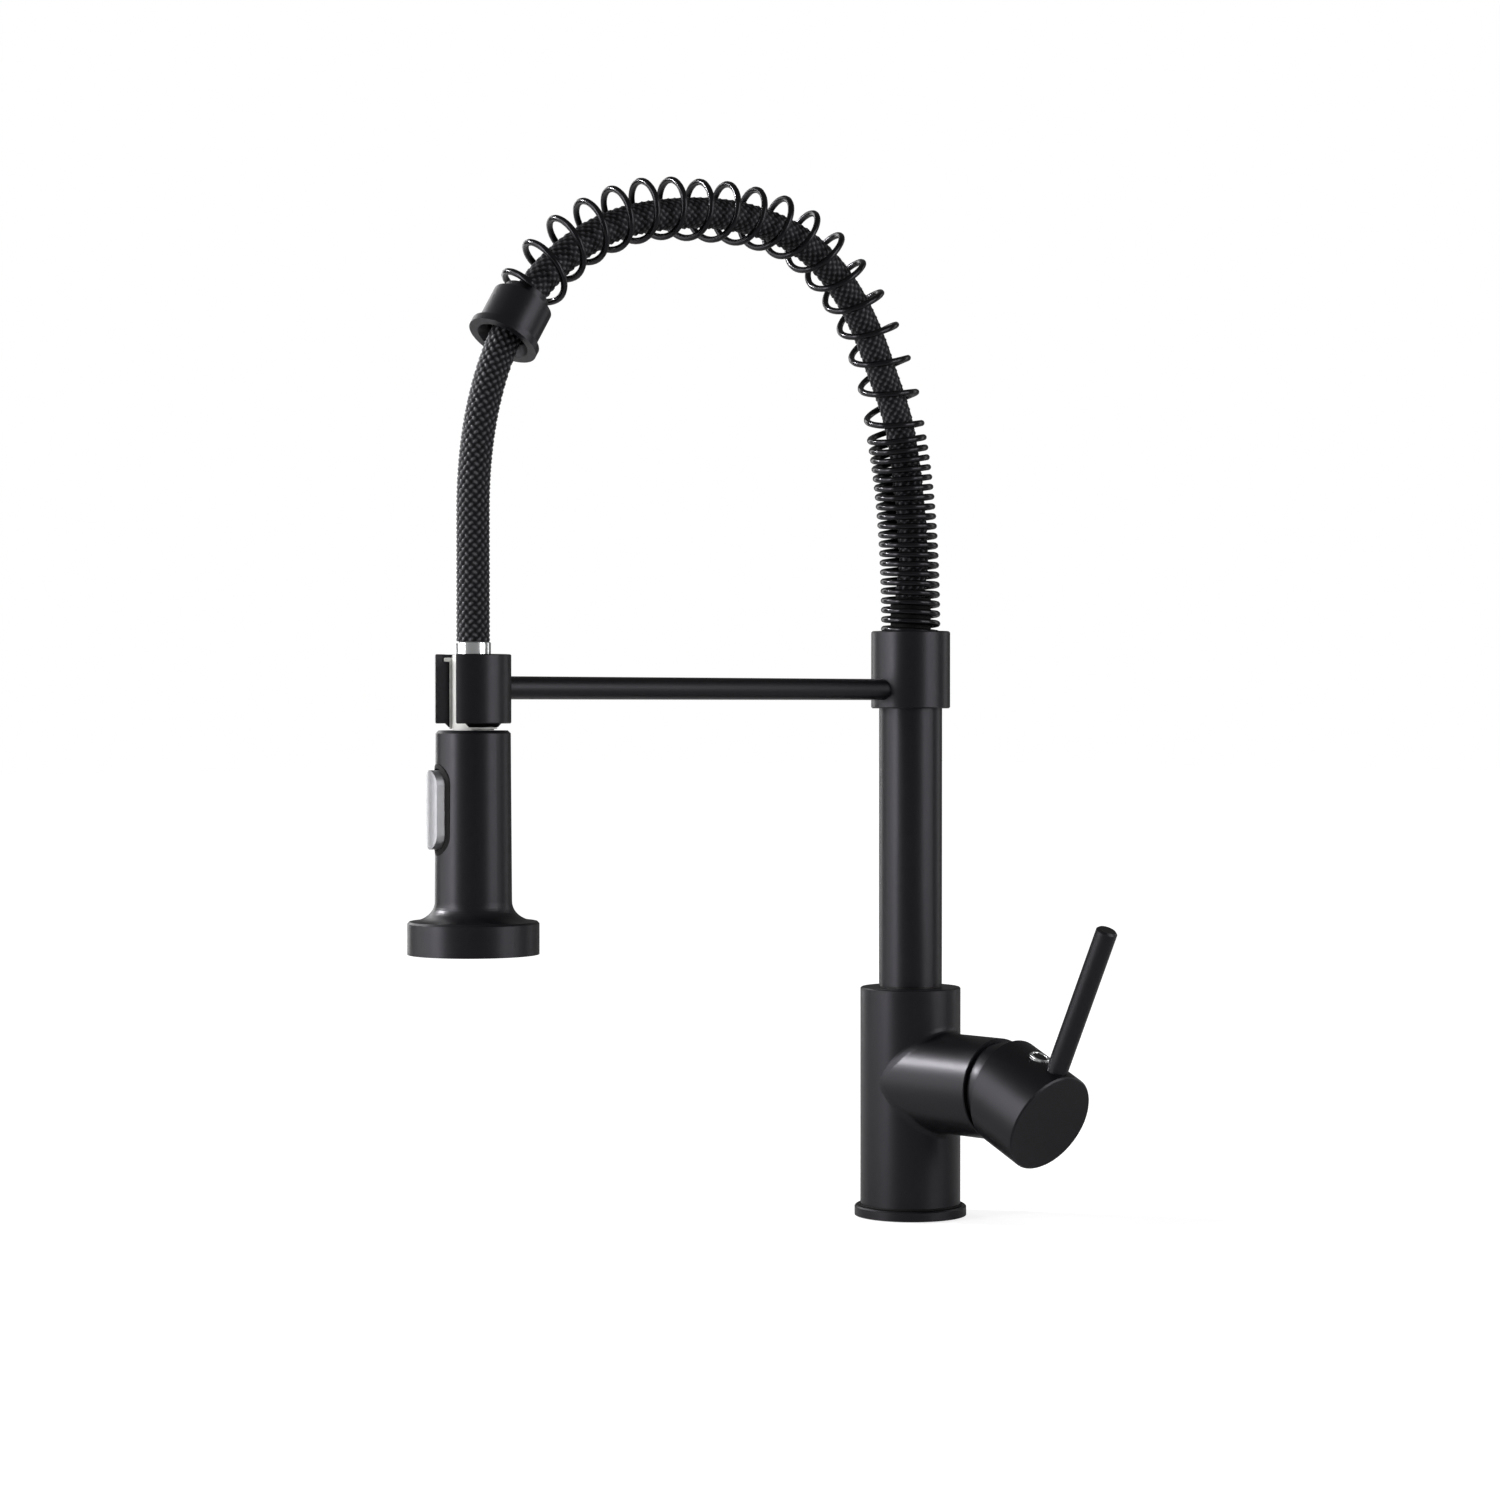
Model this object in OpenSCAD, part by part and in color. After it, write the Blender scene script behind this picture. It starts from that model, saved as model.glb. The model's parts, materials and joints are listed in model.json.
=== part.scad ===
// Spring-neck kitchen faucet with a pull-down spray head.
// Frame: the origin is on the deck plane at the column's axis, +Z is up,
// the spout reaches along -Y and the handle's branch along +X. Millimetres.

/* [Base and body] */
// Radius of the body casting
body_r = 22.75; // [19:0.05:27.3]
// Width of the base ring's lip outside the body
base_lip = 2.65; // [1:0.05:6]
// Height of the base flange ring
base_h = 4.5; // [3.5:0.1:8]
// Height of the deck plane to the top of the body
body_top = 103.5; // [98:0.5:125]
// Height of the branch axis above the deck
branch_z = 61.5; // [52:0.5:68]
// Wall of the side branch at its mouth
branch_wall = 2.8; // [2:0.1:4]
// Size of the soft blend where the branch leaves the body
blend = 3.2; // [1:0.1:5]
// Distance from the column axis to the end of the branch
branch_end = 55.5; // [48:0.5:72]

/* [Mounting] */
// Radius of the plain part of the mounting shank
shank_r = 16.5; // [15.5:0.1:18]
// Radius of the passage through the shank
shank_bore_r = 13; // [12.5:0.1:13.5]
// Length of the shank below the deck plane
shank_len = 62; // [50:1:90]
// Thickness of the deck that the washers are shown clamping
deck_t = 30; // [10:1:40]
// Radius of the clamp washers
washer_r = 27; // [24:0.5:32]
// Width across the flats of the lock nut
nut_af = 46; // [42:1:54]
// Height of the lock nut
nut_h = 10; // [7:0.5:14]

/* [Cartridge] */
// Radius of the mixer cartridge
cartridge_r = 17.5; // [14.5:0.1:21]
// Length of the cartridge housing
cartridge_len = 26; // [22:0.5:28]
// Radius of the turning part of the cartridge
rotor_r = 9.5; // [9.2:0.1:11]
// Radius of the pin that the stem tilts on
pivot_pin_r = 2; // [1.5:0.1:2.4]
// Distance from the branch end to the tilting axis
pivot_out = 4.5; // [4:0.1:6]

/* [Handle] */
// Wall of the handle cap
cap_wall = 1.6; // [1.2:0.1:2]
// Thickness of the solid front of the cap
cap_solid = 12.2; // [11.5:0.1:16]
// Angle that the cap's rear rim is cut at
cap_skew = 12.5; // [12:0.5:14]
// Angle that the open handle hangs below level
handle_droop = 25; // [20:1:26]
// Radius of the lever rod
lever_r = 4.75; // [4:0.05:5.4]
// Distance from the tilting axis to the lever's tip
lever_tip = 92; // [75:1:120]
// Metal left between the lever's hole and the cap's front face
lever_land = 1.75; // [1:0.05:2.5]

/* [Column and collar] */
// Radius of the column
column_r = 14.3; // [11.9:0.1:17.2]
// Step from the column's skin to its spigot in the body
spigot_step = 1.9; // [1.2:0.05:2.4]
// Depth of the swivel socket in the body
socket_depth = 23.5; // [22:0.5:26]
// Height of the swivel gap between body and column
swivel_gap = 0.8; // [0.5:0.1:1.2]
// Step from the column's skin to the collar's
collar_step = 3.6; // [2:0.1:6]
// Height of the collar's lower edge
collar_bottom = 230; // [195:1:270]
// Height of the collar
collar_h = 35; // [33:1:42]

/* [Spring and hose] */
// Radius of the spring wire
wire_r = 1.4; // [1:0.1:1.7]
// Radial gap between the hose and the inside of the coils
coil_gap = 3.8; // [3.2:0.1:4.4]
// Pitch of the close-wound coils
close_pitch = 4.35; // [3.8:0.05:6]
// Length of close-wound spring above the collar
close_len = 84; // [40:0.5:120]
// Pitch of the open coils
open_pitch = 15; // [10:0.5:20]
// Height of the arch above the collar's top
arch_rise = 179; // [150:1:215]
// Radius of the braided hose
hose_r = 6.9; // [5.7:0.1:8.3]
// Length of the ferrule at the spring's end
ferrule_len = 19.3; // [15:0.1:25]
// Width of the ferrule's flange outside its sleeve
ferrule_lip = 2.15; // [1:0.05:4]

/* [Arm and dock] */
// Distance from the column axis to the spray head's axis
reach = 249; // [200:1:300]
// Radius of the support arm
arm_r = 4.75; // [3.5:0.05:5.5]
// Height of the arm above the collar's lower edge
arm_up = 8.5; // [7:0.1:10]
// Wall of the dock round the liner's flange
dock_wall = 3.6; // [2:0.1:5]
// Height of the dock
dock_h = 28; // [24:0.5:36]
// Width of the slot down the front of the dock
dock_slot = 11.2; // [7:0.1:12]

/* [Spray head] */
// Radius of the head at its shoulder
head_top_r = 15.2; // [12.6:0.1:18.3]
// Growth of the head's radius down to the flare
head_taper = 0.45; // [0:0.05:2]
// Radius of the spray flange
flange_r = 26.75; // [22.2:0.05:34]
// Length of the head from its shoulder to the spray face
head_len = 90.7; // [88:0.1:120]
// Thickness of the spray flange
flange_h = 13.3; // [12.5:0.1:18]
// Wall of the neck that stands in the dock
neck_wall = 2.3; // [1.5:0.1:3]
// Width of the mode rocker
rocker_w = 12.4; // [10:0.1:13]
// Height of the mode rocker
rocker_h = 32; // [26:0.5:34]
// Angle that the head is turned to in the dock
head_turn = -17; // [-180:1:180]
// Nozzles in the outer ring of the spray face
outer_nozzles = 24; // [12:1:28]
// Nozzles in the inner ring of the spray face
inner_nozzles = 18; // [10:1:20]

/* [Fits] */
// Radial clearance of a turning fit
run_fit = 0.05; // [0.02:0.01:0.09]
// Radial clearance of a fixed fit
fixed_fit = 0.03; // [0.02:0.01:0.05]
// Gap between moving covers
cover_gap = 0.4; // [0.3:0.05:0.6]
// Radial clearance of the neck in the dock's liner
liner_fit = 0.3; // [0.2:0.05:0.5]

/* [Hidden] */
$fn = 96;

// colours
black = "#2b2b2d";
soft_black = "#1c1c1e";
chrome = "#d8dadd";
brass = "#b08d4a";
pale = "#dcdcd8";
past = 1; // how far a cutter runs past the face that it opens

// mounting
base_r = body_r + base_lip;
gasket_t = 1.6;
gasket_r = base_r - 2;
base_edge = 0.6;
thread_relief = 0.2;
thread_r = shank_r - thread_relief;
pilot_r = thread_r - 0.9; // plain end that the lock nut is started on
pilot_len = 12;
shank_depth = 12; // length of thread in the body
washer_bore_r = shank_r + 0.2;
rubber_t = 3;
steel_t = 1.5;
nut_top = -deck_t - rubber_t - steel_t;
nut_taper = 2;
inlet_r = 4.5; // M10x1 supply inlets
inlet_offset = 7;
inlet_thread = 12;

// branch and cartridge, as distances along +X
shank_top = base_h + shank_depth;
nut_len = 6.5;
nut_recess = 3;
nut_slot = 4;
chamber_r = cartridge_r + run_fit;
chamber_back = branch_end - nut_recess - nut_len - cartridge_len;
nut_back = chamber_back + cartridge_len;
nut_front = nut_back + nut_len;
mouth_r = chamber_r + 2.15;
mouth_back = branch_end - 5;
branch_r = mouth_r + branch_wall;
pivot_x = branch_end + pivot_out;
rotor_len = 21;
snout_r = rotor_r + 2.6;
yoke_slot = 7.6;
yoke_w = 15;
yoke_h = 10;
port_r = 3.5;
port_out = 8;
duct_r = port_r - 0.5;

// the blend between body and branch
blend_sink = 0.03; // its edges lie this far inside the skins that they meet
blend_steps = 5;
blend_turns = 72;

// the fixed dome that the cap turns round
dome_r = mouth_r + 1.3;
dome_wall = 1.8;
dome_front = 10;
sleeve_wall = 1.6;
lap = 0.2; // how far a moulded sleeve stands off the face behind it

// handle, as distances along the cap's axis
cap_bore_r = dome_r + cover_gap;
cap_r = cap_bore_r + cap_wall;
cap_edge = 0.7;
rim_centre = 1.4; // where the rear rim's plane crosses the cap's axis
dome_reach = dome_front * cos(handle_droop) + sqrt(pow(dome_r, 2) - pow(dome_front, 2)) * sin(handle_droop);
cavity_end = dome_reach + 0.5;
cap_front = cavity_end + cap_solid;
boss_start = 11;
boss_r = 7;
stem_w = 7;
stem_end = cap_front - 5;
lever_axial = cap_front - lever_r - lever_land;
lever_root = 8;
set_screw_at = lever_axial - 2;
plug_r = 4.75;
plug_axial = 11.6;
plug_sink = 0.9;

// column, collar and swivel
spigot_r = column_r - spigot_step;
column_bottom = body_top + swivel_gap;
socket_bottom = body_top - socket_depth;
socket_r = spigot_r + run_fit;
column_bore = spigot_r - 2.6;
oring_r = 0.9;
oring_heights = [socket_bottom + 4.5, socket_bottom + 9];
oring_groove = 1.1; // half its height
screw_z = body_top - 6.5;
screw_r = 2;
hex_r = 1.15; // hexagon sockets of the small screws
hex_deep = 2;
track_r = spigot_r - 1.4; // floor of the track that the retaining screw runs in
collar_r = column_r + collar_step;
collar_top = collar_bottom + collar_h;
collar_edge = 0.6;
collar_socket = 12;
collar_spigot_r = column_r - 1.3;
spring_seat_depth = 8;
spring_seat = collar_top - spring_seat_depth;
nipple_r = hose_r - 0.45;
nipple_bore = 3.5;
nipple_hex = 4; // height of its hexagon
hose_start = collar_top + 7;
crimp_bore = hose_r + 0.7;
crimp_wall = 1;

// spring, ferrule and hose
coil_r = hose_r + coil_gap + wire_r;
ferrule_bore = hose_r + 1.5;
ferrule_r = coil_r + 0.75;
ferrule_flange_t = 3;
ferrule_spigot = 4;
hose_bore = 4;
hose_split = collar_top + 35;

// arm and dock
arm_z = collar_bottom + arm_up;
arm_seat = 3; // how far the arm goes into the dock and the collar stops short of it
dock_top = arm_z + 13.5;
dock_bottom = dock_top - dock_h;
dock_skirt = 1.5;
connector_r = hose_r + 0.25;
spigot_bore = connector_r - 1.25;
neck_r = spigot_bore + neck_wall;
liner_bore = neck_r + liner_fit;
liner_r = liner_bore + 1.1;
liner_flange_r = liner_r + 2.2;
liner_flange_t = 1.6;
liner_sink = 1.4;
liner_seat = dock_top - liner_flange_t - liner_sink;
liner_drop = 2.2;
dock_r = liner_flange_r + dock_wall;

// spray head, as heights
head_top = dock_bottom - 2.8;
head_bottom = head_top - head_len;
flange_top = head_bottom + flange_h;
flare_h = 8;
throat = flange_top + flare_h;
shell_wall = 2;
shoulder_t = shell_wall + 0.8;
head_low_r = head_top_r + head_taper;
core_r = head_top_r - shell_wall - 0.4;
core_top = head_top - shoulder_t - 3;
core_bore = 4;
neck_top = dock_top - 0.3;
connector_h = 5;
connector_bottom = neck_top + 0.3;
connector_top = connector_bottom + connector_h;
connector_spigot = 18;
connector_bore = 3;
seal_z = connector_bottom - 12;
seal_r = 0.62;
rocker_z = head_top - 32;
pin_r = 1;
rocker_pin_y = head_top_r - 3.7;
pocket_y = head_top_r - 3; // floor of the rocker's pocket
rocker_back = head_top_r - 1.7;
rocker_out = head_top_r + 3.8;
rocker_face = 21.8; // radius of its face across its width
rocker_belly = 62; // radius of its back along its height
rocker_ear = [8, 3.7, 4.8];
ear_pocket = [9, 3.2, 8];
rocker_margin = 0.4;
housing_y = rocker_pin_y - 3.5;
housing_w = 18;
housing_h = rocker_h + 6;
face_r = flange_r - shell_wall;
face_t = 4;
face_bottom = head_bottom + 1.3;
mat_t = 1.5;
carrier_t = 3.6;
aerator_r = core_r - 2.4;
aerator_wall = 1.4;
outer_ring_r = face_r - 4;
inner_ring_r = (outer_ring_r + aerator_r) / 2;
nozzle_r = 0.9;
nozzle_hole_r = 1.2;

// ---------------------------------------------------------------- the hose's route
// The route lies in the plane X = 0 and is given as [distance out, height]: it rises
// from the collar, turns over the apex and falls straight down on the head's axis.
apex = [0.45 * reach, collar_top + arch_rise];
drop = [reach, collar_top + 0.25 * arch_rise];
rise_curve = [[0, collar_top], [0, collar_top + 0.7 * arch_rise], [apex.x - 71, apex.y], apex];
fall_curve = [apex, [apex.x + 71, apex.y], [reach, drop.y + 0.534 * arch_rise], drop];

function bezier(p, t) =
    pow(1 - t, 3) * p[0] + 3 * t * pow(1 - t, 2) * p[1] + 3 * t * t * (1 - t) * p[2] + pow(t, 3) * p[3];
function bezier_slope(p, t) =
    pow(1 - t, 2) * (p[1] - p[0]) + 2 * t * (1 - t) * (p[2] - p[1]) + t * t * (p[3] - p[2]);
function on_arch(u) = u < 1 ? bezier(rise_curve, u) : bezier(fall_curve, u - 1);
function arch_slope(u) = u < 1 ? bezier_slope(rise_curve, u) : bezier_slope(fall_curve, u - 1);

// table of [length along the arch, curve parameter]
arch_steps = 160;
arch_step = 2 / arch_steps;
arch_table = [
    for (i = 0, s = 0; i <= arch_steps;
         s = s + norm(on_arch((i + 1) * arch_step) - on_arch(i * arch_step)), i = i + 1)
        [s, i * arch_step]
];
arch_len = arch_table[arch_steps][0];

// the route and its direction at a length s from the collar's top
function flat_route(s) =
    s < 0 ? [0, collar_top + s] :
    s > arch_len ? [reach, drop.y - (s - arch_len)] : on_arch(lookup(s, arch_table));
function flat_heading(s) =
    s < 0 ? [0, 1] : s > arch_len ? [0, -1] : arch_slope(lookup(s, arch_table));
function route(s) = let (p = flat_route(s)) [0, -p.x, p.y];
function heading(s) = let (d = flat_heading(s), n = norm(d)) [0, -d.x / n, d.y / n];

// the ferrule stands where the falling side passes this share of the arch's length
ferrule_mid = 0.82 * arch_len;
ferrule_top = ferrule_mid - ferrule_len / 2;
ferrule_lean = 0.1 * (coil_r + wire_r); // room for the bend below the last coil

// ---------------------------------------------------------------- spring
spring_start = wire_r + fixed_fit - spring_seat_depth;
spring_end = ferrule_top - wire_r - ferrule_lean;
ramp_len = 12; // over which the pitch opens
ramp_turns = ramp_len * (1 / close_pitch + 1 / open_pitch) / 2;
function turns_at(s) =
    let (x = s - close_len, start = (close_len - spring_start) / close_pitch)
    x < 0 ? (s - spring_start) / close_pitch :
    x < ramp_len ? start + x / close_pitch + x * x / (2 * ramp_len) * (1 / open_pitch - 1 / close_pitch) :
    start + ramp_turns + (x - ramp_len) / open_pitch;
spring_turns = turns_at(spring_end);
turn_table = [for (s = [spring_start : 1 : spring_end + 1]) [turns_at(s), s]];
coil_rings = 16;
wire_sides = 6;

// the coil is wound left-handed, from this share of a turn
coil_phase = 0.6;
function radial(s, turn) =
    let (a = 360 * (turn + coil_phase))
    cos(a) * [1, 0, 0] - sin(a) * cross(heading(s), [1, 0, 0]);
function on_coil(turn) =
    let (s = min(lookup(turn, turn_table), spring_end)) route(s) + coil_r * radial(s, turn);
function unit(v) = v / norm(v);
function wire_ring(turn) =
    let (
        s = min(lookup(turn, turn_table), spring_end),
        out = radial(s, turn),
        along = unit(on_coil(turn + 0.01) - on_coil(turn - 0.01)),
        side = unit(cross(along, out)),
        centre = route(s) + coil_r * out
    )
    [for (k = [0 : wire_sides - 1])
        centre + wire_r * (cos(360 * k / wire_sides) * out + sin(360 * k / wire_sides) * side)];
function hose_ring(s, r, sides) =
    let (side = cross(heading(s), [1, 0, 0]))
    [for (k = [0 : sides - 1])
        route(s) + r * (cos(360 * k / sides) * [1, 0, 0] + sin(360 * k / sides) * side)];

// ---------------------------------------------------------------- helpers
module sweep(rings) {
    n = len(rings[0]);
    last = len(rings) - 1;
    polyhedron(
        points = [for (ring = rings) each ring],
        faces = concat(
            [[for (k = [0 : n - 1]) k]],
            [[for (k = [n - 1 : -1 : 0]) last * n + k]],
            [for (i = [0 : last - 1], k = [0 : n - 1])
                [i * n + k, (i + 1) * n + k, (i + 1) * n + (k + 1) % n]],
            [for (i = [0 : last - 1], k = [0 : n - 1])
                [i * n + k, (i + 1) * n + (k + 1) % n, i * n + (k + 1) % n]]
        )
    );
}

// a straight round stage from one height to another
module stage(low, high, r) {
    translate([0, 0, low]) cylinder(h = high - low, r = r);
}

// a tube between two heights
module tube(low, high, r, bore) {
    difference() {
        stage(low, high, r);
        stage(low - past, high + past, bore);
    }
}

// a round part whose top edge is broken by a chamfer
module chamfered(low, high, r, edge) {
    stage(low, high - edge, r);
    translate([0, 0, high - edge]) cylinder(h = edge, r1 = r, r2 = r - edge);
}

module ring_of(major, minor) {
    rotate_extrude() translate([major, 0]) circle(r = minor, $fn = 32);
}

// a socket screw that stands along Z
module small_screw(inner, outer) {
    difference() {
        stage(inner, outer, screw_r);
        translate([0, 0, outer - hex_deep]) cylinder(h = hex_deep + past, r = hex_r, $fn = 6);
    }
}

// puts a child whose axis is Z along the branch, with Z = 0 at the column axis
module along_branch() {
    translate([0, 0, branch_z]) rotate([0, 90, 0]) children();
}

// puts a child whose axis is Z along the handle's cap, with Z = 0 at the tilting axis
module along_handle() {
    translate([pivot_x, 0, branch_z]) rotate([0, 90 + handle_droop, 0]) children();
}

// puts a child whose axis is Z on the spray head's axis
module on_head() {
    translate([0, -reach, 0]) children();
}

// ---------------------------------------------------------------- base
module base_ring() {
    color(black)
    difference() {
        chamfered(0, base_h, base_r, base_edge);
        stage(-past, base_h + past, shank_r + cover_gap);
        stage(-past, gasket_t, gasket_r);
    }
}

module deck_gasket() {
    color(soft_black) tube(0, gasket_t, gasket_r - fixed_fit, shank_r + cover_gap + 1);
}

module mounting_shank() {
    color(brass)
    difference() {
        union() {
            stage(-shank_len, -shank_len + pilot_len, pilot_r);
            stage(-shank_len + pilot_len, -deck_t + 2, thread_r);
            stage(-deck_t + 2, 0, shank_r);
            stage(0, shank_top, thread_r);
        }
        stage(-shank_len - past, shank_top + past, shank_bore_r);
    }
}

module rubber_washer() {
    color(soft_black) tube(-deck_t - rubber_t, -deck_t, washer_r, washer_bore_r);
}

module steel_washer() {
    color(chrome) tube(nut_top, nut_top + steel_t, washer_r, washer_bore_r);
}

module lock_nut() {
    low = nut_top - nut_h;
    corner_r = nut_af / 2 / cos(30);
    color(brass)
    difference() {
        intersection() {
            translate([0, 0, low]) cylinder(h = nut_h, r = corner_r, $fn = 6);
            union() {
                stage(low + nut_taper, nut_top, corner_r + lap);
                translate([0, 0, low])
                    cylinder(h = nut_taper, r1 = nut_af / 2, r2 = nut_af / 2 + 2 * nut_taper);
            }
        }
        stage(low - past, nut_top + past, thread_r + fixed_fit);
    }
}

// ---------------------------------------------------------------- body
// section of the blend at an angle round the branch, as [distance out, distance from its axis]
function blend_curve(turn) =
    let (
        cross_r = branch_r * sin(turn),
        root = sqrt(max(0.01, pow(body_r, 2) - pow(cross_r, 2))),
        slope = abs(cross_r * sin(turn)) / root,
        limit = 0.9995 * body_r / max(abs(sin(turn)), 0.001),
        high = min(branch_r + blend / sqrt(1 + slope * slope), limit),
        foot = sqrt(max(0.01, pow(body_r, 2) - pow(high * sin(turn), 2))),
        start = [root + blend, branch_r - blend_sink],
        corner = [root, branch_r],
        end = [foot - blend_sink, high]
    )
    concat(
        [for (i = [0 : blend_steps]) let (t = i / blend_steps)
            pow(1 - t, 2) * start + 2 * t * (1 - t) * corner + t * t * end],
        [[root - 2, branch_r - 2]]
    );

module branch_blend() {
    rings = [for (i = [0 : blend_turns - 1]) let (turn = 360 * i / blend_turns)
        [for (p = blend_curve(turn)) [p.x, p.y * sin(turn), branch_z + p.y * cos(turn)]]];
    n = blend_steps + 2;
    polyhedron(
        points = [for (ring = rings) each ring],
        faces = concat(
            [for (i = [0 : blend_turns - 1], k = [0 : n - 1])
                let (j = (i + 1) % blend_turns)
                [i * n + k, j * n + k, j * n + (k + 1) % n]],
            [for (i = [0 : blend_turns - 1], k = [0 : n - 1])
                let (j = (i + 1) % blend_turns)
                [i * n + k, j * n + (k + 1) % n, i * n + (k + 1) % n]]
        )
    );
}

module valve_body() {
    color(black)
    difference() {
        union() {
            chamfered(base_h, body_top, body_r, 0.5);
            along_branch() chamfered(0, branch_end, branch_r, 0.4);
            branch_blend();
        }
        // socket for the shank, then the two supply ways
        stage(base_h - past, shank_top, thread_r + fixed_fit);
        for (side = [-1, 1]) {
            translate([0, side * inlet_offset, shank_top - past])
                cylinder(h = inlet_thread + past, r = inlet_r);
            translate([0, side * inlet_offset, shank_top])
                cylinder(h = branch_z - shank_top, r = port_r);
            translate([0, side * inlet_offset, branch_z - 4])
                rotate([0, 90, 0]) cylinder(h = chamber_back + past, r = duct_r);
        }
        // mixed water way up to the column
        translate([0, 0, branch_z + port_out])
            rotate([0, 90, 0]) cylinder(h = chamber_back + past, r = port_r);
        stage(branch_z + port_out - port_r, socket_bottom + past, port_r + 1);
        // cartridge chamber and its mouth
        along_branch() stage(chamber_back, branch_end + past, chamber_r);
        along_branch() stage(mouth_back, branch_end + past, mouth_r);
        // swivel socket and the screw that keeps the column in
        stage(socket_bottom, body_top + past, socket_r);
        translate([0, 0, screw_z]) rotate([-90, 0, 0]) cylinder(h = body_r + past, r = screw_r + fixed_fit);
    }
}

module swivel_screw() {
    color(chrome)
    translate([0, 0, screw_z]) rotate([-90, 0, 0])
    small_screw(spigot_r - 1, body_r - 1.2);
}

module cartridge_body() {
    color(pale)
    along_branch()
    difference() {
        union() {
            stage(chamber_back, nut_back, cartridge_r);
            stage(nut_back, nut_front - 1, snout_r);
        }
        stage(nut_front - rotor_len, nut_front, rotor_r + run_fit);
        for (at = [[-port_out, 0], [4, inlet_offset], [4, -inlet_offset]])
            translate([at.x, at.y, chamber_back - past])
                cylinder(h = nut_front - rotor_len - chamber_back + 2 * past, r = duct_r);
    }
}

module cartridge_nut() {
    color(brass)
    along_branch()
    difference() {
        stage(nut_back, nut_front, cartridge_r);
        stage(nut_back - past, nut_front + past, snout_r + lap);
        for (turn = [0 : 90 : 270])
            rotate([0, 0, turn]) translate([cartridge_r, 0, nut_front])
                cube([nut_slot + 1, nut_slot, nut_slot + 1], center = true);
    }
}

module dome_ring() {
    color(black)
    along_branch()
    difference() {
        union() {
            intersection() {
                translate([0, 0, pivot_x]) sphere(r = dome_r);
                stage(branch_end + lap, pivot_x + dome_front, dome_r + past);
            }
            stage(mouth_back + lap, branch_end + lap + 0.1, mouth_r - fixed_fit);
        }
        translate([0, 0, pivot_x]) sphere(r = dome_r - dome_wall);
        stage(mouth_back - past, branch_end + 0.5, mouth_r - sleeve_wall);
    }
}

// ---------------------------------------------------------------- handle
module cartridge_rotor() {
    color(pale)
    difference() {
        union() {
            along_branch() stage(nut_front - rotor_len + 0.3, nut_front, rotor_r);
            intersection() {
                along_branch() stage(nut_front - past, pivot_x + yoke_h / 2, rotor_r - 0.2);
                translate([nut_front - past, -yoke_w / 2, branch_z - yoke_h / 2])
                    cube([pivot_x + yoke_h / 2 - nut_front + past, yoke_w, yoke_h]);
            }
        }
        translate([pivot_x - 5.5, -yoke_slot / 2, branch_z - rotor_r])
            cube([rotor_r * 2, yoke_slot, rotor_r * 2]);
        translate([pivot_x, 0, branch_z]) rotate([90, 0, 0])
            cylinder(h = yoke_w + 2 * past, r = pivot_pin_r + fixed_fit, center = true);
    }
}

module stem_pin() {
    color(chrome)
    translate([pivot_x, 0, branch_z]) rotate([90, 0, 0])
        cylinder(h = yoke_w - 0.4, r = pivot_pin_r, center = true);
}

module cartridge_stem() {
    color(brass)
    along_handle()
    difference() {
        union() {
            rotate([90, 0, 0]) cylinder(h = stem_w, r = 4, center = true);
            translate([-stem_w / 2, -stem_w / 2, 0]) cube([stem_w, stem_w, stem_end]);
        }
        rotate([90, 0, 0]) cylinder(h = stem_w + 2 * past, r = pivot_pin_r + run_fit, center = true);
    }
}

module handle_cap() {
    color(black)
    along_handle()
    difference() {
        union() {
            difference() {
                chamfered(-cap_r, cap_front, cap_r, cap_edge);
                stage(-cap_r - past, cavity_end, cap_bore_r);
                // the oblique rear rim, longer on top, where local X points down
                translate([0, 0, rim_centre]) rotate([0, -cap_skew, 0])
                    translate([-2 * cap_r, -2 * cap_r, -4 * cap_r]) cube(4 * cap_r);
            }
            stage(boss_start, cavity_end + past, boss_r);
        }
        // square socket for the stem
        translate([-stem_w / 2 - fixed_fit, -stem_w / 2 - fixed_fit, boss_start - past])
            cube([stem_w + 2 * fixed_fit, stem_w + 2 * fixed_fit, stem_end - boss_start + past + 0.2]);
        // lever's hole on top, set screw's below, and the seat of the index plug
        translate([-lever_root, 0, lever_axial]) rotate([0, -90, 0])
            cylinder(h = cap_r, r = lever_r + fixed_fit);
        translate([stem_w / 2 - past, 0, set_screw_at]) rotate([0, 90, 0])
            cylinder(h = cap_r, r = screw_r + fixed_fit);
        translate([-cap_r + plug_sink, 0, plug_axial]) rotate([0, -90, 0])
            cylinder(h = cap_wall, r = plug_r + fixed_fit);
    }
}

module lever_rod() {
    color(black)
    along_handle() translate([-lever_root, 0, lever_axial]) rotate([0, -90, 0])
        chamfered(0, lever_tip - lever_root, lever_r, 0.9);
}

module handle_screw() {
    color(chrome)
    along_handle() translate([0, 0, set_screw_at]) rotate([0, 90, 0])
    small_screw(stem_w / 2, cap_r - 3);
}

module index_plug() {
    color(chrome)
    along_handle() translate([0, 0, plug_axial]) rotate([0, -90, 0])
        chamfered(cap_r - plug_sink, cap_r + 0.2, plug_r, 0.3);
}

// ---------------------------------------------------------------- column and collar
module column() {
    color(black)
    difference() {
        union() {
            stage(column_bottom, collar_bottom, column_r);
            stage(socket_bottom + 0.3, column_bottom, spigot_r);
            stage(collar_bottom, collar_bottom + collar_socket - 0.2, collar_spigot_r);
        }
        stage(socket_bottom - past, collar_top, column_bore);
        // grooves for the O-rings and for the tip of the retaining screw
        for (z = oring_heights)
            tube(z - oring_groove, z + oring_groove, spigot_r + past, spigot_r - 2 * oring_r);
        tube(screw_z - screw_r - lap, screw_z + screw_r + lap, spigot_r + past, track_r);
    }
}

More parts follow.
